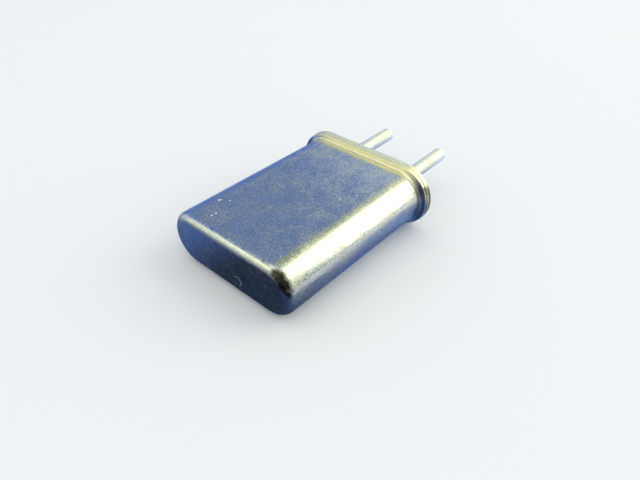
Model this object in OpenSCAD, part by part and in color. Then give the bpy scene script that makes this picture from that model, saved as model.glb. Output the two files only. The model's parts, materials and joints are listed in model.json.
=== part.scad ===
// Two-pin quartz crystal unit in a drawn metal holder, lying on one broad side.
// Sizes are in millimetres. The origin is the middle of the base's outer face, halfway between
// the pins. +Y points along the pins and away from the can, +X goes across the can, +Z is up.
// Every piece is drawn upright first, with the pins along z, and then laid down by lay_down().

/* [Can] */
// Width of the drawn can, over its two round sides
can_width = 10.15; // [9.8:0.05:10.5]
// Thickness of the drawn can, over its two flat sides
can_thickness = 3.7; // [3.5:0.05:4]
// Height of the holder, from the base's outer face to the closed end
holder_height = 13.3; // [12.8:0.1:14]
// Thickness of the can's sheet
can_wall = 0.25; // [0.2:0.01:0.3]
// Outside radius of the drawn edge round the closed end
end_radius = 0.6; // [0.4:0.05:0.8]
// Hollow outside radius where the can's wall turns out into its flange
neck_radius = 0.2; // [0.08:0.01:0.24]
// Rounding of the can's mouth, inside, where the wall turns out
mouth_radius = 0.25; // [0.15:0.05:0.3]

/* [Welded rim] */
// How far the can's flange stands out from the can's side
flange_reach = 0.38; // [0.35:0.01:0.45]
// Thickness of the can's flange
flange_thickness = 0.28; // [0.24:0.01:0.32]
// How far the base's edge stands out past the can's flange
base_step = 0.03; // [0:0.01:0.08]
// Thickness of the base at its rim
base_thickness = 0.38; // [0.3:0.02:0.5]
// Rounding of the rim's two outer edges
edge_radius = 0.09; // [0.05:0.01:0.11]
// Rounding of the two sheet edges that meet at the weld, which leaves a fine groove there
seam_radius = 0.04; // [0.02:0.01:0.07]

/* [Base plug] */
// Height of the plug that stands on the base and fills the can's mouth
plug_height = 1.05; // [0.8:0.05:1.4]
// Gap all round between the plug and the inside of the can
plug_gap = 0.08; // [0.04:0.01:0.15]
// Rounding of the plug's inner edge
plug_edge_radius = 0.15; // [0.1:0.05:0.25]

/* [Glass seals] */
// Diameter of each glass seal, which fills its hole in the base
glass_diameter = 2.2; // [1.8:0.05:2.4]
// How far the seal's rim lies below the base's faces
glass_recess = 0.05; // [0.02:0.01:0.1]
// Depth of the hollow ring in the seal's faces, between the pin and the hole
glass_hollow = 0.1; // [0.05:0.01:0.15]

/* [Pins] */
// Distance between the two pins' centres
pin_spacing = 4.88; // [4.6:0.02:5]
// Diameter of a pin outside the base
pin_diameter = 1; // [0.9:0.02:1.1]
// Length of a pin outside the base
pin_length = 6.35; // [5.8:0.05:7]
// Rounding of a pin's tip
tip_radius = 0.44; // [0.3:0.02:0.44]
// Diameter of a pin's shank, which runs through the glass
shank_diameter = 0.64; // [0.5:0.02:0.68]
// How far a shank stands out of the plug, inside the can
post_height = 0.6; // [0.4:0.05:0.9]

/* [Spring clips] */
// Width of the strip that each clip is folded from
clip_width = 1.4; // [1.2:0.05:1.6]
// Thickness of that strip
clip_thickness = 0.12; // [0.1:0.01:0.15]
// Inside radius of the fold
fold_radius = 0.2; // [0.1:0.05:0.4]
// Length of strip past the slot, at the clip's free end
clip_tail = 0.5; // [0.3:0.05:0.8]
// How far the blank's rim stands out through the clip's slot
rim_past_clip = 0.03; // [0:0.01:0.06]
// Clearance all round between the blank and the slot
slot_clearance = 0.02; // [0.01:0.005:0.03]

/* [Quartz blank] */
// Diameter of the quartz blank
blank_diameter = 8; // [7.6:0.05:8.2]
// Thickness of the quartz blank
blank_thickness = 0.2; // [0.15:0.01:0.35]
// Width of the bevel round the blank's edges
blank_bevel = 0.03; // [0.01:0.01:0.05]

/* [Electrodes] */
// Diameter of the metal film on each side of the blank
electrode_diameter = 4.4; // [3.8:0.1:5]
// Width of the film's tab, which runs out to a clip
tab_width = 1; // [0.6:0.05:1.2]
// Thickness of the film, drawn thicker than a real one so that it is a solid
film_thickness = 0.02; // [0.02:0.005:0.03]
// Gap between the tab's end and the clip, which the cement bridges
tab_gap = 0.1; // [0.05:0.01:0.15]

/* [Cement] */
// Radius of each dab of conductive cement, in the corner of clip and blank
cement_radius = 0.5; // [0.4:0.05:0.6]

/* [Hidden] */
$fn = 64;
// sides across the can, and faces of the blank, as signs along x and y of the upright pieces
left = -1;
right = 1;
top = -1;
bottom = 1;
// how far a cutting or joining shape runs past the face that it works on
lap = 0.05;
// the can's section is an obround: two half circles, centred this far each side of the middle
round_centre = (can_width - can_thickness) / 2;
can_radius = can_thickness / 2;
cavity_radius = can_radius - can_wall;
flange_radius = can_radius + flange_reach;
base_radius = flange_radius + base_step;
plug_radius = cavity_radius - plug_gap;
// the hollow at the plug's foot
foot_radius = 0.1;
// heights of the upright pieces: the base's outer face is at 0, and the can lies below it
weld_face = -base_thickness;
neck_height = weld_face - flange_thickness;
plug_face = weld_face - plug_height;
glass_outer = -glass_recess;
glass_inner = plug_face + glass_recess;
post_end = plug_face - post_height;
pin_x = pin_spacing / 2;
shank_radius = shank_diameter / 2;
shoulder_radius = 0.05;
// flat ring that is left each side of a seal's hollow
glass_land = 0.04;
// the blank hangs midway between the clips' feet and the closed end
clip_foot = post_end - clip_thickness;
blank_height = (clip_foot - holder_height + can_wall) / 2;
blank_radius = blank_diameter / 2;
clip_inside = blank_radius - clip_thickness - rim_past_clip;
clip_outside = clip_inside + clip_thickness;
slot_width = blank_thickness + 2 * slot_clearance;
slot_half = sqrt(pow(blank_radius, 2) - pow(clip_inside, 2)) + slot_clearance;
clip_end = blank_height - slot_half - slot_width / 2 - clip_tail;
clip_corner_radius = 0.2;

// Lays an upright piece down, so that its z runs along +Y.
module lay_down() {
  rotate([-90, 0, 0]) children();
}

// Mirrors a shape in x where the side is the left one.
module on_side(side) {
  mirror([side < 0 ? 1 : 0, 0, 0]) children();
}

// The area between a square corner and the arc that touches both of its sides. It lies right of
// the corner and above it, or left and below with a sign of -1. Taken away, it rounds an outer
// corner, and added, it fills a hollow one.
module corner(at, radius, across, up) {
  translate(at) mirror([across < 0 ? 1 : 0, 0]) mirror([0, up < 0 ? 1 : 0]) difference() {
    translate([-lap, -lap]) square(radius + lap);
    translate([radius, radius]) circle(radius);
  }
}

// Sweeps a half section, drawn right of the y axis, round an obround path.
module obround_sweep() {
  for (side = [left, right]) {
    on_side(side) translate([round_centre, 0, 0]) rotate([0, 0, -90])
      rotate_extrude(angle = 180) children();
  }
  rotate([90, 0, 90]) linear_extrude(height = 2 * round_centre, center = true) {
    children();
    mirror([1, 0]) children();
  }
}

// Half of a block between two heights, with its lower edge rounded.
module half_block(radius, low, high, rounding) {
  difference() {
    translate([0, low]) square([radius, high - low]);
    corner([radius, low], rounding, -1, 1);
  }
}

module can_section() {
  difference() {
    union() {
      half_block(can_radius, -holder_height, weld_face, end_radius);
      half_block(flange_radius, neck_height, weld_face, edge_radius);
      corner([can_radius, neck_height], neck_radius, 1, -1);
    }
    half_block(cavity_radius, can_wall - holder_height, weld_face + lap, end_radius - can_wall);
    corner([cavity_radius, weld_face], mouth_radius, 1, -1);
    corner([flange_radius, weld_face], seam_radius, -1, -1);
  }
}

module base_section() {
  difference() {
    half_block(base_radius, weld_face, 0, seam_radius);
    corner([base_radius, 0], edge_radius, -1, -1);
  }
  half_block(plug_radius, plug_face, weld_face + lap, plug_edge_radius);
  corner([plug_radius, weld_face], foot_radius, 1, -1);
}

// The hollow in a seal's end face: a ring with a round floor.
module glass_dish(height, up) {
  chord = glass_diameter / 2 - shank_radius - 2 * glass_land;
  radius = (pow(chord / 2, 2) + pow(glass_hollow, 2)) / (2 * glass_hollow);
  translate([shank_radius + glass_land + chord / 2, height + up * (radius - glass_hollow)])
    circle(radius);
}

module glass_seal(side) {
  translate([side * pin_x, 0, 0]) rotate_extrude() difference() {
    translate([shank_radius, glass_inner])
      square([glass_diameter / 2 - shank_radius, glass_outer - glass_inner]);
    glass_dish(glass_outer, 1);
    glass_dish(glass_inner, -1);
  }
}

module pin(side) {
  translate([side * pin_x, 0, 0]) rotate_extrude() {
    translate([0, post_end]) square([shank_radius, lap - post_end]);
    difference() {
      square([pin_diameter / 2, pin_length]);
      corner([pin_diameter / 2, 0], shoulder_radius, -1, 1);
      corner([pin_diameter / 2, pin_length], tip_radius, -1, -1);
    }
  }
}

// The strip seen from its edge: a foot on the pin's end, a fold and a long riser.
module clip_profile() {
  difference() {
    union() {
      translate([pin_x - clip_width / 2, clip_foot])
        square([clip_outside - pin_x + clip_width / 2, clip_thickness]);
      translate([clip_inside, clip_end]) square([clip_thickness, post_end - clip_end]);
      corner([clip_inside, clip_foot], fold_radius, -1, -1);
    }
    corner([clip_outside, post_end], fold_radius + clip_thickness, -1, -1);
  }
}

// What is trimmed off the foot, so that it ends in a half circle round the pin's axis.
module foot_trim() {
  difference() {
    translate([-clip_width / 2 - lap, -clip_width / 2 - lap])
      square([clip_width / 2 + lap, clip_width + 2 * lap]);
    circle(clip_width / 2);
  }
}

// What is cut from the riser, seen square on: the slot, and the free end's two corners.
module riser_cuts() {
  translate([blank_height, 0]) {
    square([2 * slot_half, slot_width], center = true);
    for (end = [-1, 1]) translate([end * slot_half, 0]) circle(slot_width / 2);
  }
  for (edge = [-1, 1]) corner([clip_end, edge * clip_width / 2], clip_corner_radius, 1, -edge);
}

module clip(side) {
  on_side(side) difference() {
    rotate([90, 0, 0]) linear_extrude(height = clip_width, center = true) clip_profile();
    translate([pin_x, 0, clip_foot - lap])
      linear_extrude(height = clip_thickness + 2 * lap) foot_trim();
    translate([clip_inside - lap, 0, 0]) rotate([0, 90, 0]) mirror([1, 0, 0])
      linear_extrude(height = clip_thickness + 2 * lap) riser_cuts();
  }
}

module blank() {
  edge = blank_thickness / 2;
  translate([0, 0, blank_height]) rotate([90, 0, 0]) rotate_extrude()
    polygon([[0, -edge], [blank_radius - blank_bevel, -edge], [blank_radius, blank_bevel - edge],
             [blank_radius, edge - blank_bevel], [blank_radius - blank_bevel, edge], [0, edge]]);
}

// A film on one face of the blank, with its tab running out to the clip on the given side.
module electrode(face, side) {
  mirror([0, face < 0 ? 1 : 0, 0]) translate([0, blank_thickness / 2, blank_height])
    rotate([-90, 0, 0]) linear_extrude(height = film_thickness) on_side(side) {
      circle(electrode_diameter / 2);
      translate([0, -tab_width / 2]) square([clip_inside - tab_gap, tab_width]);
    }
}

// A dab in the corner of the blank's face and the clip's inner face, over the film's tab.
module cement(face, side) {
  difference() {
    on_side(side) mirror([0, face < 0 ? 1 : 0, 0])
      translate([clip_inside, blank_thickness / 2, blank_height]) intersection() {
        sphere(cement_radius);
        translate([-2 * cement_radius, 0, -cement_radius])
          cube([2 * cement_radius, 2 * cement_radius, 2 * cement_radius]);
      }
    electrode(face, side);
  }
}

module can() {
  color("#b4b5ac") lay_down() obround_sweep() can_section();
}

module base() {
  color("#a8a9a3") lay_down() difference() {
    obround_sweep() base_section();
    for (side = [left, right]) {
      translate([side * pin_x, 0, plug_face - lap])
        cylinder(h = 2 * lap - plug_face, d = glass_diameter);
    }
  }
}

module glass_left() {
  color("#31403f") lay_down() glass_seal(left);
}

module glass_right() {
  color("#31403f") lay_down() glass_seal(right);
}

module pin_left() {
  color("#d3d3ca") lay_down() pin(left);
}

module pin_right() {
  color("#d3d3ca") lay_down() pin(right);
}

module clip_left() {
  color("#c6c3b4") lay_down() clip(left);
}

module clip_right() {
  color("#c6c3b4") lay_down() clip(right);
}

module quartz_blank() {
  color("#e3ebee") lay_down() blank();
}

module electrode_top() {
  color("#dcdde0") lay_down() electrode(top, left);
}

module electrode_bottom() {
  color("#dcdde0") lay_down() electrode(bottom, right);
}

module cement_left() {
  color("#a5a6a4") lay_down() cement(top, left);
}

module cement_right() {
  color("#a5a6a4") lay_down() cement(bottom, right);
}

can();
base();
glass_left();
glass_right();
pin_left();
pin_right();
clip_left();
clip_right();
quartz_blank();
electrode_top();
electrode_bottom();
cement_left();
cement_right();
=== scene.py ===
"""Looks of a two-pin quartz crystal unit in a drawn metal holder, lying on one broad side.

Lengths are in millimetres until mm() turns them to metres. +Y points along the pins and away
from the can, +X goes across the can, +Z is up, and the origin is the middle of the base's
outer face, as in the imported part.
"""

import json
import math

import bpy
from mathutils import Matrix, Vector


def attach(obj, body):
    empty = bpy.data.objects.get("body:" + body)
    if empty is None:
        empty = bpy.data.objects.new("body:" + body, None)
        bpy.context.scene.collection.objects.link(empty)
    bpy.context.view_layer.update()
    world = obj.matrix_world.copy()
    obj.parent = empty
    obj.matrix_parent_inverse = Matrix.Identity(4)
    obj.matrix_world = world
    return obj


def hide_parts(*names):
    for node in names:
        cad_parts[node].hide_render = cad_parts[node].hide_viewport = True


# ---- sizes of the pieces that are drawn here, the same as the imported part's

CAN_WIDTH, CAN_THICKNESS, HOLDER_HEIGHT, CAN_WALL = 10.15, 3.7, 13.3, 0.25
END_RADIUS, NECK_RADIUS, MOUTH_RADIUS = 0.6, 0.2, 0.25
FLANGE_REACH, FLANGE_THICKNESS = 0.38, 0.28
BASE_STEP, BASE_THICKNESS, EDGE_RADIUS, SEAM_RADIUS = 0.03, 0.38, 0.09, 0.04
PLUG_HEIGHT, PLUG_GAP, PLUG_EDGE_RADIUS, FOOT_RADIUS = 1.05, 0.08, 0.15, 0.1
GLASS_DIAMETER, GLASS_RECESS, GLASS_HOLLOW, GLASS_LAND = 2.2, 0.05, 0.1, 0.04
PIN_SPACING, PIN_DIAMETER, PIN_LENGTH, TIP_RADIUS = 4.88, 1.0, 6.35, 0.44
SHANK_DIAMETER, SHOULDER_RADIUS, POST_HEIGHT = 0.64, 0.05, 0.6

ROUND_CENTRE = (CAN_WIDTH - CAN_THICKNESS) / 2
CAN_RADIUS = CAN_THICKNESS / 2
CAVITY_RADIUS = CAN_RADIUS - CAN_WALL
FLANGE_RADIUS = CAN_RADIUS + FLANGE_REACH
BASE_RADIUS = FLANGE_RADIUS + BASE_STEP
PLUG_RADIUS = CAVITY_RADIUS - PLUG_GAP
WELD_FACE = -BASE_THICKNESS
NECK_FACE = WELD_FACE - FLANGE_THICKNESS
PLUG_FACE = WELD_FACE - PLUG_HEIGHT

# How finely the pieces are drawn: the steps of each spin, the segments of a rounding, and the
# distances in millimetres within which two points are the same or are merged.
SIDE_STEPS, SEAL_STEPS, HOLLOW_STEPS = 48, 64, 8
LEAST_SEGMENTS, SEGMENTS_PER_MM = 6, 32
SAME_POINT, MERGE_DISTANCE = 1e-4, 0.002
SMOOTH_ANGLE = math.radians(30)


def mm(*lengths):
    """Millimetres to metres: one number from one length, a vector from three."""
    return lengths[0] * 0.001 if len(lengths) == 1 else Vector(lengths) * 0.001


# ---- camera

CAMERA_PLACE = (19.43, -27.05, 20.56)
CAMERA_RIGHT = (0.7489, 0.6628, 0.0)
CAMERA_FORWARD = (-0.5159, 0.5829, -0.6278)
FOCAL_LENGTH = 29.89
NEAREST_SEEN, FARTHEST_SEEN = 1, 10000


def add_camera():
    camera = bpy.data.objects.new("camera", bpy.data.cameras.new("camera"))
    bpy.context.scene.collection.objects.link(camera)
    forward = Vector(CAMERA_FORWARD).normalized()
    right = Vector(CAMERA_RIGHT).normalized()
    up = right.cross(forward)
    turn = Matrix((right, up, -forward)).transposed().to_4x4()
    camera.matrix_world = Matrix.Translation(mm(*CAMERA_PLACE)) @ turn
    camera.data.lens = FOCAL_LENGTH
    camera.data.clip_start, camera.data.clip_end = mm(NEAREST_SEEN), mm(FARTHEST_SEEN)
    bpy.context.scene.camera = camera


# ---- modelling by hand


def deselect_all():
    if bpy.context.object and bpy.context.object.mode != "OBJECT":
        bpy.ops.object.mode_set(mode="OBJECT")
    bpy.ops.object.select_all(action="DESELECT")


def select_points(piece, chosen):
    """Selects the points of a piece, in object mode, whose place in millimetres is chosen."""
    bpy.ops.object.mode_set(mode="OBJECT")
    for part in (piece.data.vertices, piece.data.edges, piece.data.polygons):
        part.foreach_set("select", [False] * len(part))
    for point in piece.data.vertices:
        point.select = chosen(point.co * 1000)
    bpy.ops.object.mode_set(mode="EDIT")
    bpy.ops.mesh.select_mode(type="VERT")


def draw_section(name, centre_x, corners):
    """Draws a half section as one chain of edges, above the line where x is centre_x.

    A corner is (radius, height, rounding): how far it lies from that line, its place along Y,
    and the rounding that it gets once the chain is drawn. The chain starts as a small plane,
    merged to a point.
    """
    deselect_all()
    radius, height, rounding = corners[0]
    bpy.ops.mesh.primitive_plane_add(size=mm(0.1), location=mm(centre_x, height, radius))
    piece = bpy.context.object
    piece.name = name
    bpy.ops.object.transform_apply(location=True)
    bpy.ops.object.mode_set(mode="EDIT")
    bpy.ops.mesh.select_all(action="SELECT")
    bpy.ops.mesh.merge(type="CENTER")
    for last, corner in zip(corners, corners[1:]):
        step = mm(0, corner[1] - last[1], corner[0] - last[0])
        bpy.ops.mesh.extrude_region_move(TRANSFORM_OT_translate={"value": step})
    for radius, height, rounding in corners:
        if rounding:
            place = Vector((centre_x, height, radius))
            select_points(piece, lambda point: (point - place).length < SAME_POINT)
            segments = max(LEAST_SEGMENTS, round(rounding * SEGMENTS_PER_MM))
            bpy.ops.mesh.bevel(offset=mm(rounding), segments=segments, affect="VERTICES")
    return piece


def sweep_obround():
    """Spins the section round one end, draws it out, spins it round the other and closes it."""
    bpy.ops.mesh.select_all(action="SELECT")
    for side in (1, -1):
        centre = mm(side * ROUND_CENTRE, 0, 0)
        bpy.ops.mesh.spin(steps=SIDE_STEPS, angle=-math.pi, center=centre, axis=(0, 1, 0))
        step = mm(-side * 2 * ROUND_CENTRE, 0, 0)
        bpy.ops.mesh.extrude_region_move(TRANSFORM_OT_translate={"value": step})


def sweep_round(centre_x):
    """Spins the section once round."""
    bpy.ops.mesh.select_all(action="SELECT")
    centre = mm(centre_x, 0, 0)
    bpy.ops.mesh.spin(steps=SEAL_STEPS, angle=2 * math.pi, center=centre, axis=(0, 1, 0))


def close_up():
    """Merges the seams and poles, and turns the faces outwards."""
    bpy.ops.mesh.select_all(action="SELECT")
    bpy.ops.mesh.remove_doubles(threshold=mm(MERGE_DISTANCE))
    bpy.ops.mesh.normals_make_consistent(inside=False)
    bpy.ops.object.mode_set(mode="OBJECT")


def smooth(piece):
    """Shades curves smooth and keeps the flats flat."""
    deselect_all()
    piece.select_set(True)
    bpy.context.view_layer.objects.active = piece
    bpy.ops.object.shade_smooth_by_angle(angle=SMOOTH_ANGLE)
    bpy.ops.object.modifier_add(type="WEIGHTED_NORMAL")
    piece.modifiers[-1].keep_sharp = True
    bpy.ops.object.modifier_apply(modifier=piece.modifiers[-1].name)


def make_can():
    corners = [
        (0, -HOLDER_HEIGHT, 0),
        (CAN_RADIUS, -HOLDER_HEIGHT, END_RADIUS),
        (CAN_RADIUS, NECK_FACE, NECK_RADIUS),
        (FLANGE_RADIUS, NECK_FACE, EDGE_RADIUS),
        (FLANGE_RADIUS, WELD_FACE, SEAM_RADIUS),
        (CAVITY_RADIUS, WELD_FACE, MOUTH_RADIUS),
        (CAVITY_RADIUS, CAN_WALL - HOLDER_HEIGHT, END_RADIUS - CAN_WALL),
        (0, CAN_WALL - HOLDER_HEIGHT, 0),
    ]
    piece = draw_section("drawn_can", ROUND_CENTRE, corners)
    sweep_obround()
    close_up()
    smooth(piece)
    return piece


def make_base():
    corners = [
        (0, 0, 0),
        (BASE_RADIUS, 0, EDGE_RADIUS),
        (BASE_RADIUS, WELD_FACE, SEAM_RADIUS),
        (PLUG_RADIUS, WELD_FACE, FOOT_RADIUS),
        (PLUG_RADIUS, PLUG_FACE, PLUG_EDGE_RADIUS),
        (0, PLUG_FACE, 0),
    ]
    piece = draw_section("stamped_base", ROUND_CENTRE, corners)
    sweep_obround()
    close_up()
    for side in (-1, 1):
        punch_hole(piece, side * PIN_SPACING / 2)
    smooth(piece)
    return piece


def punch_hole(piece, centre_x):
    """Cuts the hole for one glass seal with a round punch."""
    deselect_all()
    bpy.ops.mesh.primitive_cylinder_add(
        vertices=SEAL_STEPS,
        radius=mm(GLASS_DIAMETER / 2),
        depth=mm(-2 * PLUG_FACE),
        location=mm(centre_x, PLUG_FACE / 2, 0),
        rotation=(math.pi / 2, 0, 0),
    )
    punch = bpy.context.object
    deselect_all()
    piece.select_set(True)
    bpy.context.view_layer.objects.active = piece
    bpy.ops.object.modifier_add(type="BOOLEAN")
    cut = piece.modifiers[-1]
    cut.operation, cut.solver, cut.object = "DIFFERENCE", "EXACT", punch
    bpy.ops.object.modifier_apply(modifier=cut.name)
    bpy.data.objects.remove(punch)


def seal_face(height, inwards):
    """Corners of a seal's face from the shank out to the hole, with its hollow as a round arc."""
    start, end = SHANK_DIAMETER / 2 + GLASS_LAND, GLASS_DIAMETER / 2 - GLASS_LAND
    half = (end - start) / 2
    radius = (half**2 + GLASS_HOLLOW**2) / (2 * GLASS_HOLLOW)
    corners = [(SHANK_DIAMETER / 2, height, 0)]
    for step in range(HOLLOW_STEPS + 1):
        across = half * (2 * step / HOLLOW_STEPS - 1)
        depth = math.sqrt(radius**2 - across**2) - radius + GLASS_HOLLOW
        corners.append((start + half + across, height + inwards * depth, 0))
    return corners + [(GLASS_DIAMETER / 2, height, 0)]


def make_seal(name, centre_x):
    outside = seal_face(-GLASS_RECESS, -1)
    inside = seal_face(PLUG_FACE + GLASS_RECESS, 1)
    piece = draw_section(name, centre_x, outside + inside[::-1] + outside[:1])
    sweep_round(centre_x)
    close_up()
    smooth(piece)
    return piece


def make_pin(name, centre_x):
    corners = [
        (0, PLUG_FACE - POST_HEIGHT, 0),
        (SHANK_DIAMETER / 2, PLUG_FACE - POST_HEIGHT, 0),
        (SHANK_DIAMETER / 2, 0, 0),
        (PIN_DIAMETER / 2, 0, SHOULDER_RADIUS),
        (PIN_DIAMETER / 2, PIN_LENGTH, TIP_RADIUS),
        (0, PIN_LENGTH, 0),
    ]
    piece = draw_section(name, centre_x, corners)
    sweep_round(centre_x)
    close_up()
    smooth(piece)
    return piece


# ---- materials


def linear(colour):
    """An sRGB hex colour, such as "b4b5ac", as the linear colour that a socket takes."""
    parts = [int(colour[at : at + 2], 16) / 255 for at in (0, 2, 4)]
    return [p / 12.92 if p <= 0.04045 else ((p + 0.055) / 1.055) ** 2.4 for p in parts] + [1]


def add_node(tree, kind, settings=None, out=0, **links):
    """Adds one node and gives one of its outputs.

    A setting is a property of the node, and a link is a socket or a plain value. A link's name
    is its socket's name in lower case with _ for each space, or in0, in1 and so on for the
    socket's number.
    """
    node = tree.nodes.new("ShaderNode" + kind)
    for name, value in (settings or {}).items():
        setattr(node, name, value)
    sockets = {socket.name.lower().replace(" ", "_"): socket for socket in reversed(node.inputs)}
    sockets.update({f"in{number}": socket for number, socket in enumerate(node.inputs)})
    for name, value in links.items():
        if isinstance(value, bpy.types.NodeSocket):
            tree.links.new(value, sockets[name])
        else:
            sockets[name].default_value = value
    return node.outputs[out] if node.outputs else None


def new_material(name):
    material = bpy.data.materials.new(name)
    material.use_nodes = True
    material.node_tree.nodes.clear()
    return material, material.node_tree


def places_in_mm(tree, stretch=(1, 1, 1)):
    """The place on the piece, counted in millimetres. A stretch of 0.2 draws a pattern out."""
    place = add_node(tree, "TexCoord", out="Object")
    return add_node(tree, "Mapping", vector=place, scale=[1000 * part for part in stretch])


def add_bumps(tree, layers):
    """Lays heights over each other. A layer is a pattern and its depth in millimetres."""
    links = {}
    for height, depth in layers:
        links["normal"] = add_node(tree, "Bump", height=height, distance=mm(depth), **links)
    return links["normal"]


def add_marks(tree, place, marks, ragged, fray=1.0, firm=0.75):
    """A mask of small marks. A mark is its x, y and z and its size, all in millimetres.

    ragged is the width of the ripples in its edge. fray is how far they reach, and firm is where
    the mark starts to fade, both as shares of its size. At the share gone it has faded.
    """
    gone = 1.1
    ripples = add_node(tree, "TexNoise", vector=place, scale=1 / ragged, detail=2.0)
    mask = 0.0
    for x, y, z, size in marks:
        away = add_node(
            tree, "VectorMath", {"operation": "DISTANCE"}, out="Value", in0=place, in1=(x, y, z)
        )
        frayed = add_node(
            tree, "Math", {"operation": "MULTIPLY_ADD"}, in0=ripples, in1=fray * size, in2=away
        )
        limits = {"from_min": firm * size, "from_max": gone * size, "to_min": 1.0, "to_max": 0.0}
        spot = add_node(tree, "MapRange", value=frayed, **limits)
        mask = add_node(tree, "Math", {"operation": "MAXIMUM"}, in0=mask, in1=spot)
    return mask


# The finish that all the plated metal shares. A cloud's size is in millimetres, and the limits
# are those of MapRange nodes: what part of the noise counts, and what it gives.
CLOUD_SIZE = 1.4
CLOUD_LIMITS = {"from_min": 0.36, "from_max": 0.66}
CLOUD_DULLING = {"to_min": -0.06, "to_max": 0.13}
SPARKLE = {"from_min": 0.32, "from_max": 0.68, "to_min": 0.75, "to_max": 1.16}
POLISH_LIMITS = {"from_min": 0.3, "from_max": 0.7}


def plated_metal(name, colour, tarnished, grain, roughness, depth, worn=None):
    """Metal sheet or wire that is bare or under a thin plating.

    The surface follows the grain of the metal, so the gloss breaks into fine soft sparkle, and
    handling has dulled it in clouds, which spread what they mirror. A real grain is a third as
    wide or less, and is drawn this coarse so that it shows. colour and tarnished are hex, for
    the clear and the clouded metal, grain is the grain's width and depth its height in
    millimetres, and roughness is the least and the most that the grain gives. worn(tree, place,
    shade, rough, layers) may add marks and layers of relief, and gives shade, rough and metal.
    """
    material, tree = new_material(name)
    place = places_in_mm(tree)
    fine = add_node(tree, "TexNoise", vector=place, scale=1 / grain, detail=3.0, roughness=0.6)
    folds = {"scale": 1 / CLOUD_SIZE, "detail": 5.0, "roughness": 0.6, "distortion": 0.5}
    cloud = add_node(tree, "TexNoise", vector=place, **folds)
    clouded = add_node(tree, "MapRange", value=cloud, **CLOUD_LIMITS)
    shade = add_node(tree, "MixRGB", fac=clouded, color1=linear(colour), color2=linear(tarnished))
    sparkle = add_node(tree, "MapRange", value=fine, **SPARKLE)
    multiply = {"blend_type": "MULTIPLY"}
    shade = add_node(tree, "MixRGB", multiply, fac=1.0, color1=shade, color2=sparkle)
    least, most = roughness
    polish = add_node(tree, "MapRange", value=fine, **POLISH_LIMITS, to_min=least, to_max=most)
    dulled = add_node(tree, "MapRange", value=cloud, **CLOUD_LIMITS, **CLOUD_DULLING)
    rough = add_node(tree, "Math", {"operation": "ADD"}, in0=polish, in1=dulled)
    layers = [(fine, depth)]
    metal = 1.0
    if worn:
        shade, rough, metal = worn(tree, place, shade, rough, layers)
    surface = add_node(
        tree,
        "BsdfPrincipled",
        base_color=shade,
        metallic=metal,
        roughness=rough,
        normal=add_bumps(tree, layers),
    )
    add_node(tree, "OutputMaterial", surface=surface)
    return material


# Single marks on the can: x, y, z and size, in millimetres. Real dust is finer, and the specks
# are drawn this large so that they show.
DUST_SPECKS = (
    (-3.24, -10.87, 1.85, 0.09),
    (-3.16, -10.76, 1.85, 0.07),
    (-2.70, -10.45, 1.85, 0.06),
    (-2.31, -11.88, 1.85, 0.07),
    (-2.31, -12.20, 1.85, 0.07),
    (2.88, -4.86, 1.85, 0.06),
    (2.30, -5.80, 1.85, 0.06),
)
# One corner of the closed end, with a dark reflection painted on it.
CORNER_DARK_REFLECTION = (
    (3.92, -13.06, 1.55, 0.47),
    (4.20, -13.05, 1.40, 0.62),
    (4.46, -13.08, 1.12, 0.60),
    (4.68, -13.03, 0.98, 0.40),
)
# Small dents along the round side, painted dark as shade.
DENTS_PAINTED_DARK = (
    (4.83, -6.55, 0.93, 0.10),
    (4.86, -6.30, 0.88, 0.07),
    (4.80, -6.85, 0.98, 0.06),
    (4.82, -4.10, 0.95, 0.05),
    (4.85, -9.30, 0.90, 0.05),
    (4.79, -10.90, 1.00, 0.05),
)

# Where the marks of making and the painted shade of the crevice lie on the can and the base, as
# the limits of MapRange nodes, in millimetres: the round sides and their outermost part across
# the can, and the rest along it.
ROUND_SIDE = {"from_min": 3.2, "from_max": 4.2}
ROUND_TIP = {"from_min": 4.5, "from_max": 4.95}
CAN_HEATED = {"from_min": -1.5, "from_max": -0.9}
BASE_HEATED = {"from_min": -0.04, "from_max": -0.12}
FLANGE_EDGE = {"from_min": -0.64, "from_max": -0.54}
CREVICE_BACK = {"from_min": -0.88, "from_max": -0.76}
CREVICE_FRONT = {"from_min": -0.58, "from_max": -0.65}
LESS_HEAT_ON_ROUND = 0.5
HEAT_ROUGHENS, TRIM_ROUGHENS = 0.18, 0.1
# The last of these colours is painted shade for the crevice at the round ends.
CAN_STRAW, BASE_STRAW, CREVICE_SHADE = "f9f0c9", "fdf4cf", "83868c"
# The first two colours are a painted dark reflection and its paler flecks, and the third is
# painted shade in the dents along the round side.
CORNER_REFLECTION, CORNER_REFLECTION_FLECK, DENT_SHADE, DUST = "3d3b35", "605d55", "3a3a34", "f4f5f2"
LINE_WIDTH, SWELL_WIDTH, FLECK_WIDTH = 0.2, 0.7, 0.12
LINE_DEPTH, SWELL_DEPTH, PIT_DEPTH, DUST_HEIGHT = 0.001, 0.004, 0.01, 0.01
DRAWN_OUT = (1, 0.07, 1)
FLECK_LIMITS = {"from_min": 0.5, "from_max": 0.68}


def add_lint(tree, place):
    """A mask of one curled fibre on the closed end, drawn twice its width so that it shows."""
    middle, radius, half_width, veil = (0.83, -13.3, -0.77), 0.32, 0.025, 0.3
    towards, least = (0.74, 0.0, 0.67), -0.07
    out = add_node(tree, "VectorMath", {"operation": "SUBTRACT"}, in0=place, in1=middle)
    length = add_node(tree, "VectorMath", {"operation": "LENGTH"}, out="Value", in0=out)
    ring = add_node(
        tree, "Math", {"operation": "COMPARE"}, in0=length, in1=radius, in2=half_width
    )
    side = add_node(
        tree, "VectorMath", {"operation": "DOT_PRODUCT"}, out="Value", in0=out, in1=towards
    )
    arc = add_node(tree, "Math", {"operation": "GREATER_THAN"}, in0=side, in1=least)
    curl = add_node(tree, "Math", {"operation": "MULTIPLY"}, in0=ring, in1=arc)
    return add_node(tree, "Math", {"operation": "MULTIPLY"}, in0=curl, in1=veil)


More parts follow.
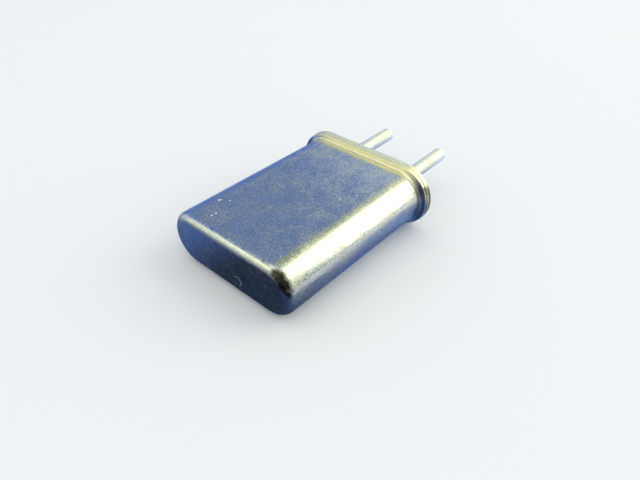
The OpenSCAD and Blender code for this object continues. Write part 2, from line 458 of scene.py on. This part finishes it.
def can_wear(tree, place, shade, rough, layers):
    """Marks of the can's own making and use, laid over its surface.

    Deep drawing leaves faint lines along the can and a slight swell. The weld's heat leaves a
    dulled straw tint on the flange and the neck, which reaches less far back on the round sides
    and fades at their outermost part, where the crevice is darkened with painted shade instead.
    The flange's edge is rough from trimming. One corner of the closed end has a dark reflection
    painted on it, with paler flecks. A few small dents along the round side are painted dark as
    shade, and a few specks of dust and a fibre lie on it.
    """
    multiply, multiply_add = {"operation": "MULTIPLY"}, {"operation": "MULTIPLY_ADD"}
    drawn_out = places_in_mm(tree, DRAWN_OUT)
    lines = add_node(tree, "TexNoise", vector=drawn_out, scale=1 / LINE_WIDTH, detail=2.0)
    swell = add_node(tree, "TexNoise", vector=place, scale=1 / SWELL_WIDTH, detail=1.0)
    along = add_node(tree, "SeparateXYZ", out="Y", vector=place)
    across = add_node(tree, "SeparateXYZ", out="X", vector=place)
    across = add_node(tree, "Math", {"operation": "ABSOLUTE"}, in0=across)
    on_round = add_node(tree, "MapRange", value=across, **ROUND_SIDE)
    on_tip = add_node(tree, "MapRange", value=across, **ROUND_TIP)
    off_tip = add_node(tree, "Math", {"operation": "SUBTRACT"}, in0=1.0, in1=on_tip)

    reach = add_node(tree, "Math", multiply_add, in0=on_round, in1=-LESS_HEAT_ON_ROUND, in2=along)
    heat = add_node(tree, "MapRange", value=reach, **CAN_HEATED)
    heat = add_node(tree, "Math", multiply, in0=heat, in1=off_tip)
    rough = add_node(tree, "Math", multiply_add, in0=heat, in1=HEAT_ROUGHENS, in2=rough)
    shade = add_node(tree, "MixRGB", fac=heat, color1=shade, color2=linear(CAN_STRAW))
    trimmed = add_node(tree, "MapRange", value=along, **FLANGE_EDGE)
    trimmed = add_node(tree, "Math", multiply, in0=trimmed, in1=off_tip)
    rough = add_node(tree, "Math", multiply_add, in0=trimmed, in1=TRIM_ROUGHENS, in2=rough)
    # Painted shade: the crevice between the neck and the flange is darkened at the outermost part
    # of the round sides.
    behind = add_node(tree, "MapRange", value=along, **CREVICE_BACK)
    ahead = add_node(tree, "MapRange", value=along, **CREVICE_FRONT)
    crevice_shade = add_node(tree, "Math", multiply, in0=behind, in1=ahead)
    crevice_shade = add_node(tree, "Math", multiply, in0=crevice_shade, in1=on_tip)
    shade = add_node(tree, "MixRGB", fac=crevice_shade, color1=shade, color2=linear(CREVICE_SHADE))

    # Painted reflection: a dark patch on one corner of the closed end stands in for the dark room
    # that the corner mirrors, with paler flecks in it.
    dark_reflection = add_marks(tree, place, CORNER_DARK_REFLECTION, ragged=0.3, fray=0.5, firm=0.6)
    flecks = add_node(tree, "TexNoise", vector=place, scale=1 / FLECK_WIDTH, detail=2.0)
    flecks = add_node(tree, "MapRange", value=flecks, **FLECK_LIMITS)
    corner_reflection = add_node(
        tree, "MixRGB", fac=flecks, color1=linear(CORNER_REFLECTION), color2=linear(CORNER_REFLECTION_FLECK)
    )
    shade = add_node(tree, "MixRGB", fac=dark_reflection, color1=shade, color2=corner_reflection)
    # The dents are bumped in, and their dark colour is painted shade.
    dents_and_shade = add_marks(tree, place, DENTS_PAINTED_DARK, ragged=0.05)
    shade = add_node(tree, "MixRGB", fac=dents_and_shade, color1=shade, color2=linear(DENT_SHADE))
    specks = add_marks(tree, place, DUST_SPECKS, ragged=0.05, fray=0.4)
    lint = add_lint(tree, place)
    dust = add_node(tree, "Math", {"operation": "MAXIMUM"}, in0=specks, in1=lint)
    shade = add_node(tree, "MixRGB", fac=dust, color1=shade, color2=linear(DUST))
    rough = add_node(tree, "Math", {"operation": "MAXIMUM"}, in0=rough, in1=dust)
    metal = add_node(tree, "Math", {"operation": "SUBTRACT"}, in0=1.0, in1=dust)
    layers += [(swell, SWELL_DEPTH), (lines, LINE_DEPTH), (dents_and_shade, -PIT_DEPTH), (dust, DUST_HEIGHT)]
    return shade, rough, metal


def base_wear(tree, place, shade, rough, layers):
    """The straw tint that the weld's heat leaves on the base's rim and not on its outer face."""
    along = add_node(tree, "SeparateXYZ", out="Y", vector=place)
    heat = add_node(tree, "MapRange", value=along, **BASE_HEATED)
    shade = add_node(tree, "MixRGB", fac=heat, color1=shade, color2=linear(BASE_STRAW))
    return shade, rough, 1.0


def fused_glass(name):
    """Sealing glass, fused in place between pin and base.

    It is dark and wet-looking, with a smooth fire-polished skin, fine seeds and a faint
    unevenness where it drew up against the metal.
    """
    flow_width, flow_depth, seed_spacing = 0.5, 0.01, 0.16
    seed_limits = {"from_min": 0.1, "from_max": 0.2, "to_min": 0.5, "to_max": 0.0}
    material, tree = new_material(name)
    place = places_in_mm(tree)
    flow = add_node(tree, "TexNoise", vector=place, scale=1 / flow_width, detail=2.0)
    seeds = add_node(tree, "TexVoronoi", vector=place, scale=1 / seed_spacing)
    shade = add_node(tree, "MixRGB", fac=flow, color1=linear("1d3330"), color2=linear("3b5049"))
    seed = add_node(tree, "MapRange", value=seeds, **seed_limits)
    shade = add_node(tree, "MixRGB", fac=seed, color1=shade, color2=linear("7c918b"))
    surface = add_node(
        tree,
        "BsdfPrincipled",
        base_color=shade,
        roughness=0.1,
        ior=1.52,
        coat_weight=0.5,
        coat_roughness=0.05,
        normal=add_bumps(tree, [(flow, flow_depth)]),
    )
    add_node(tree, "OutputMaterial", surface=surface)
    return material


def lapped_quartz(name):
    """Quartz, sawn and lapped: colourless crystal whose ground faces look finely frosted.

    The grit's marks are a few times as coarse as real ones, so that they show.
    """
    grit_width, grit_depth = 0.03, 0.002
    material, tree = new_material(name)
    place = places_in_mm(tree)
    grit = add_node(tree, "TexNoise", vector=place, scale=1 / grit_width, detail=2.0)
    shade = add_node(tree, "MixRGB", fac=grit, color1=linear("dfe8ec"), color2=linear("f2f6f7"))
    frost = add_node(tree, "MapRange", value=grit, to_min=0.3, to_max=0.45)
    surface = add_node(
        tree,
        "BsdfPrincipled",
        base_color=shade,
        roughness=frost,
        ior=1.55,
        transmission_weight=0.8,
        normal=add_bumps(tree, [(grit, grit_depth)]),
    )
    add_node(tree, "OutputMaterial", surface=surface)
    return material


def silver_cement(name):
    """Silver-filled resin, dabbed on and cured: matt grey paste with fine metal flakes.

    The flakes are a few times as coarse as real ones, so that they show.
    """
    flake_spacing, lump_width, lump_depth = 0.03, 0.15, 0.015
    material, tree = new_material(name)
    place = places_in_mm(tree)
    flakes = add_node(tree, "TexVoronoi", out="Color", vector=place, scale=1 / flake_spacing)
    lumps = add_node(tree, "TexNoise", vector=place, scale=1 / lump_width, detail=3.0)
    shade = add_node(tree, "MixRGB", fac=flakes, color1=linear("8e8f8d"), color2=linear("c2c3c1"))
    surface = add_node(
        tree,
        "BsdfPrincipled",
        base_color=shade,
        metallic=0.35,
        roughness=0.62,
        normal=add_bumps(tree, [(lumps, lump_depth)]),
    )
    add_node(tree, "OutputMaterial", surface=surface)
    return material


# ---- stage

PALE = "f0f2f4"
FLOOR_SIZE = 4000

# Soft patches of the room as the metal mirrors it, each laid over the ones before it: the
# azimuth (0 is along +Y, 90 along +X) and elevation of its middle, the angles where it starts
# to fade and has faded, its colour and its strength.
ROOM_COLOUR = "c0cab8"
ROOM_PATCHES = (
    (0, 86, 18, 49, "f7ffe7", 2.0),
    (4, 42, 13, 37, "fbffca", 1.5),
    (-76, 24, 39, 50, "577edd", 1.0),
    (-57, 52, 6, 52, "7b93bf", 1.0),
    (-19, 6, 21, 31, "dfefff", 1.45),
    (137, 16, 38, 54, "a6a79f", 1.0),
    (184, 36, 8, 24, "f4f8e8", 1.05),
    (156, -8, 12, 30, "3a3b3d", 1.0),
    (-120, 5, 12, 34, "d6e3ef", 1.0),
    (-136, 4, 5, 16, "f8ffee", 1.15),
    (-144, 33, 4, 17, "f8ffde", 1.95),
    (-16, 60, 3, 15, "a9b598", 1.0),
)

# Patches of the floor as the metal mirrors it, the dark ones near the object being painted
# shadow:
# the x and y of its middle, the distances where it starts to fade and has faded, its colour and
# its strength.
CLOTH_COLOUR = "829cc4"
CLOTH_AND_SHADOW_PATCHES = (
    (0, -3, 12, 25, "4f6cab", 1.0),
    (32, 34, 18, 45, "f4f8f6", 1.35),
    (-57, -48, 33, 56, "dbe4e8", 1.0),
    (-13, -4, 3, 10, "6f97ee", 1.0),
    (60, -79, 79, 88, "131828", 1.0),
    (18, -4.5, 4, 14, "dde4ee", 1.0),
    (8, -11, 1.5, 5, "6e81a4", 1.0),
    (1, -14, 2, 8, "28354e", 1.0),
    (6.4, 2.0, 0.5, 1.5, "141e36", 1.0),
    (8.3, -0.3, 1.5, 4, "83a0da", 1.0),
    (1, 17, 3, 16, "b4d0ff", 1.5),
    (-14, -42, 12, 28, "a2a896", 1.0),
)


def patch_colours(tree, colour, patches, coordinates, measure):
    """Lays soft round patches over a colour.

    measure turns the first four numbers of a patch to an operation that tells how near a point
    lies, the patch's middle, and the nearness at which it has faded and starts to fade.
    """
    for *bounds, patch_colour, strength in patches:
        operation, middle, (faded, full) = measure(*bounds)
        near = add_node(
            tree, "VectorMath", {"operation": operation}, out="Value", in0=coordinates, in1=middle
        )
        mask = add_node(
            tree,
            "MapRange",
            {"interpolation_type": "SMOOTHSTEP"},
            value=near,
            from_min=faded,
            from_max=full,
        )
        laid = [part * strength for part in linear(patch_colour)[:3]] + [1]
        colour = add_node(tree, "MixRGB", fac=mask, color1=colour, color2=laid)
    return colour


def add_floor():
    """A plain pale floor that the rim and the closed end both touch, so nothing hovers.

    The metal mirrors it as a deep blue cloth that glows, with painted shadow near the object.
    """
    rim_middle, end_start = -0.2, -12.75
    rim_low = Vector((0, rim_middle, -BASE_RADIUS))
    end_low = Vector((0, end_start, -CAN_RADIUS))
    slope = (end_low.z - rim_low.z) / (end_low.y - rim_low.y)
    deselect_all()
    size = mm(FLOOR_SIZE)
    bpy.ops.mesh.primitive_grid_add(x_subdivisions=2, y_subdivisions=2, size=size)
    floor = bpy.context.object
    floor.name = "floor"
    floor.data.transform(Matrix.Rotation(math.atan(slope), 4, "X"))
    floor.data.transform(Matrix.Translation(mm(0, rim_low.y, rim_low.z)))
    material, tree = new_material("matt_painted_board")
    coordinates = add_node(tree, "TexCoord", out="Object")

    def measure(x, y, full, faded):
        return "DISTANCE", mm(x, y, -CAN_RADIUS), (mm(faded), mm(full))

    # The dark patches near the object are painted shadow, which the metal mirrors.
    cloth = patch_colours(tree, linear(CLOTH_COLOUR), CLOTH_AND_SHADOW_PATCHES, coordinates, measure)
    surface = add_node(
        tree,
        "MixShader",
        in0=add_node(tree, "LightPath", out="Is Glossy Ray"),
        in1=add_node(tree, "BsdfDiffuse", color=linear(PALE)),
        in2=add_node(tree, "Emission", color=cloth, strength=1.0),
    )
    add_node(tree, "OutputMaterial", surface=surface)
    floor.data.materials.append(material)


def direction(azimuth, elevation):
    """The direction that an azimuth and an elevation in degrees point in."""
    azimuth, elevation = math.radians(azimuth), math.radians(elevation)
    flat = math.cos(elevation)
    return Vector((math.sin(azimuth) * flat, math.cos(azimuth) * flat, math.sin(elevation)))


def add_world():
    """An even pale studio, which the metal mirrors with its windows and dark corners."""
    world = bpy.data.worlds.new("studio")
    bpy.context.scene.world = world
    world.use_nodes = True
    tree = world.node_tree
    tree.nodes.clear()
    towards = add_node(tree, "TexCoord", out="Generated")

    def measure(azimuth, elevation, full, faded):
        limits = [math.cos(math.radians(angle)) for angle in (faded, full)]
        return "DOT_PRODUCT", direction(azimuth, elevation), limits

    room = patch_colours(tree, linear(ROOM_COLOUR), ROOM_PATCHES, towards, measure)
    glossy = add_node(tree, "LightPath", out="Is Glossy Ray")
    seen = add_node(tree, "MixRGB", fac=glossy, color1=linear(PALE), color2=room)
    sky = add_node(tree, "Background", color=seen, strength=1.0)
    add_node(tree, "OutputWorld", surface=sky)


def add_softbox(name, azimuth, elevation, width, height, radiance, colour):
    """A soft rectangular lamp half a metre away. Its width and height are angles, in degrees."""
    distance = mm(500)
    sides = [2 * distance * math.tan(math.radians(angle / 2)) for angle in (width, height)]
    data = bpy.data.lights.new(name, "AREA")
    data.shape, data.size, data.size_y = "RECTANGLE", *sides
    data.energy = math.pi * radiance * sides[0] * sides[1]
    data.color = linear(colour)[:3]
    lamp = bpy.data.objects.new(name, data)
    bpy.context.scene.collection.objects.link(lamp)
    away = direction(azimuth, elevation)
    turn = away.to_track_quat("Z", "Y").to_matrix().to_4x4()
    lamp.matrix_world = Matrix.Translation(away * distance) @ turn
    lamp.visible_camera = False


def add_flag():
    """A dark card that stands beside the rim's foot, which only the metal mirrors.

    It stands for the shade where the cloth bulges against the rim, and starts level with the
    base's outer face, so that the can's side doesn't mirror it.
    """
    beside, start, end, low, high = 5.8, -0.01, 3.2, -2.2, 1.5
    deselect_all()
    bpy.ops.mesh.primitive_grid_add(x_subdivisions=2, y_subdivisions=2, size=1)
    flag = bpy.context.object
    flag.name = "dark_flag"
    size = Matrix.Diagonal((mm(high - low), mm(end - start), 1, 1))
    flag.data.transform(Matrix.Rotation(math.pi / 2, 4, "Y") @ size)
    flag.data.transform(Matrix.Translation(mm(beside, (start + end) / 2, (low + high) / 2)))
    material, tree = new_material("dark_card")
    dark = add_node(tree, "Emission", color=linear("182440"), strength=1.0)
    add_node(tree, "OutputMaterial", surface=dark)
    flag.data.materials.append(material)
    flag.visible_camera = flag.visible_diffuse = flag.visible_shadow = False
    flag.visible_transmission = False


# ---- the scene

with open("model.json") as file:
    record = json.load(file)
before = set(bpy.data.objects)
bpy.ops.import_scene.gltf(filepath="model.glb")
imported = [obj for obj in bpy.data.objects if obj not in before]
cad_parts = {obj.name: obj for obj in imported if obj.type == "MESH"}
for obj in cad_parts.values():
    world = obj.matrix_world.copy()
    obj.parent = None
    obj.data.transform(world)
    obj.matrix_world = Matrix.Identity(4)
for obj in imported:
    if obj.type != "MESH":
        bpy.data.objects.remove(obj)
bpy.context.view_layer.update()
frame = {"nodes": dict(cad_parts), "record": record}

add_camera()
add_floor()
add_flag()
add_world()
add_softbox(
    "window_softbox",
    azimuth=38,
    elevation=28.2,
    width=36.5,
    height=53.5,
    radiance=1.6,
    colour="fcffee",
)

# Each finish under its material slot. The metals' numbers are the clear and the clouded colour,
# the grain's width, the roughness and the grain's height.
finishes = {
    # Nickel silver sheet, deep drawn and finely rubbed: a satin gloss that mirrors softly.
    "can_sheet": plated_metal(
        "drawn_nickel_silver", "d6d8d7", "dad7c9", 0.13, (0.14, 0.3), 0.002, can_wear
    ),
    # Stamped steel, barrel plated with nickel: a duller, warmer white than the can.
    "base_steel": plated_metal(
        "nickel_plated_steel", "edebdc", "edead3", 0.12, (0.3, 0.42), 0.002, base_wear
    ),
    # Round wire under nickel dulled by handling: pale, with one broad soft highlight.
    "pin_plate": plated_metal(
        "dulled_nickel_plate", "f6f4ea", "f4f1e3", 0.1, (0.48, 0.6), 0.002
    ),
    # Nickel silver strip, rolled bright and folded: a fine, even satin.
    "clip_strip": plated_metal(
        "rolled_nickel_silver", "d9d7cc", "dad5c2", 0.08, (0.2, 0.3), 0.001
    ),
    # Silver, evaporated on the lapped disc: white and smooth, with the finest grain.
    "silver_film": plated_metal(
        "evaporated_silver", "f4f4f3", "f3f2ec", 0.05, (0.08, 0.16), 0.0005
    ),
    "seal_glass": fused_glass("fused_sealing_glass"),
    "quartz": lapped_quartz("lapped_quartz"),
    "silver_cement": silver_cement("silver_filled_cement"),
}
slots = {part["node"]: part["material_slot"] for part in frame["record"]["subparts"]}
pieces = {
    "can": make_can(),
    "base": make_base(),
    "glass_left": make_seal("seal_left", -PIN_SPACING / 2),
    "glass_right": make_seal("seal_right", PIN_SPACING / 2),
    "pin_left": make_pin("plug_pin_left", -PIN_SPACING / 2),
    "pin_right": make_pin("plug_pin_right", PIN_SPACING / 2),
}
for node_name, node in frame["nodes"].items():
    finish = finishes[slots[node_name]]
    if node_name in pieces:
        piece = pieces[node_name]
        piece.data.materials.append(finish)
        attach(piece, "root")
        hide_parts(node_name)
    else:
        node.data.materials.clear()
        node.data.materials.append(finish)

bpy.context.scene.view_settings.view_transform = "Standard"
